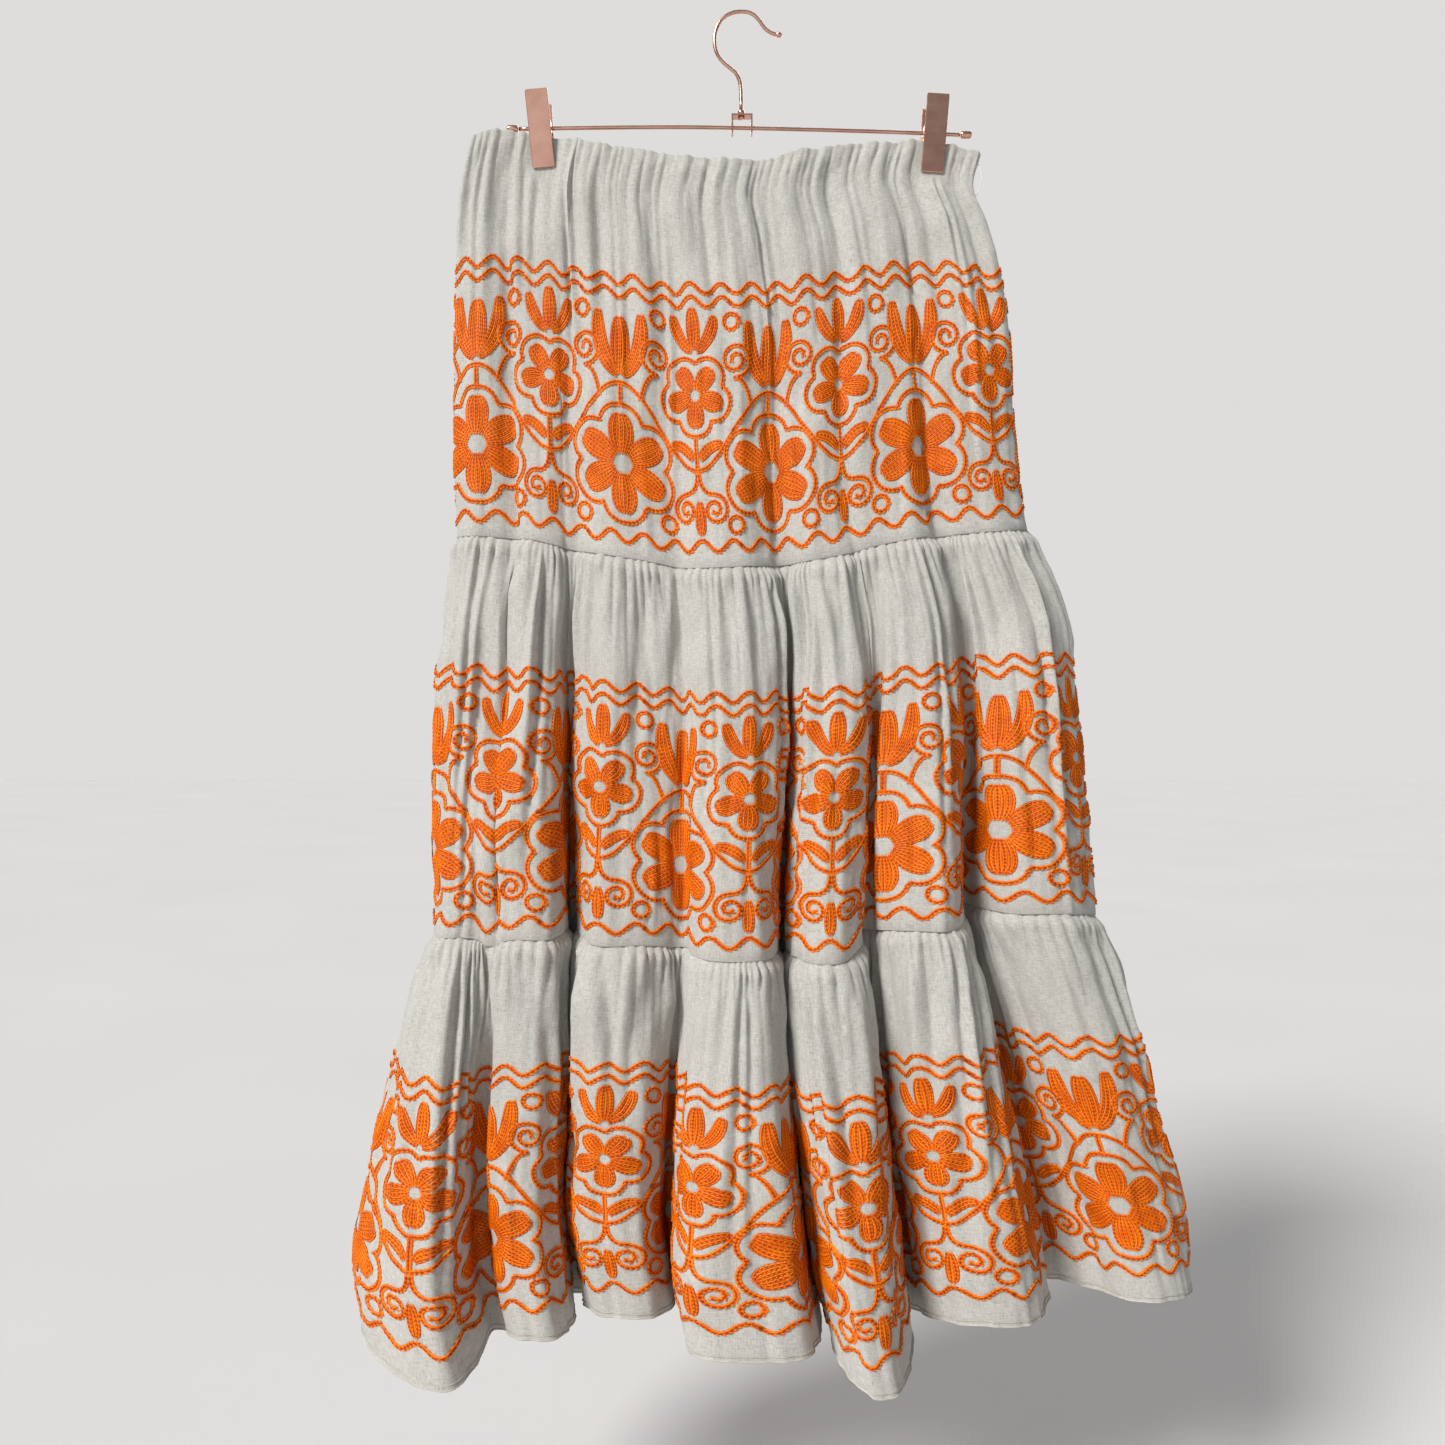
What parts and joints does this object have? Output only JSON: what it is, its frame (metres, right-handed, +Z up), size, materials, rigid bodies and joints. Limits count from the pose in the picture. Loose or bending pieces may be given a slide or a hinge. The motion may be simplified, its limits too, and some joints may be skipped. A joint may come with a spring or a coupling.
{
  "type": "tiered maxi skirt on a clip hanger",
  "caption": "Long tiered skirt with a gathered elastic waist, hanging flat from the two clips of a rose gold wire hanger with a hook.",
  "frame": {"origin": "inside of the top of the hook's curve, where the hanger rests on a rail or wall hook", "axes": "+Z up, -Y out of the front of the skirt, +X to the right of somebody looking at the front"},
  "size_m": [0.6408, 0.1964, 1.0278],
  "materials": {
    "linen": "matte",
    "rose_gold": "polished"
  },
  "bodies": {
    "root": {"tier1_front": "linen", "tier1_back": "linen", "tier2_front": "linen", "tier2_back": "linen", "tier3_front": "linen", "tier3_back": "linen", "hanger_bar": "rose_gold", "bar_bead_left": "rose_gold", "bar_bead_right": "rose_gold", "hanger_hook": "rose_gold", "hook_bracket": "rose_gold", "clip_left_front": "rose_gold", "clip_left_back": "rose_gold", "clip_left_spring": "rose_gold", "clip_right_front": "rose_gold", "clip_right_back": "rose_gold", "clip_right_spring": "rose_gold"}
  },
  "joints": []
}
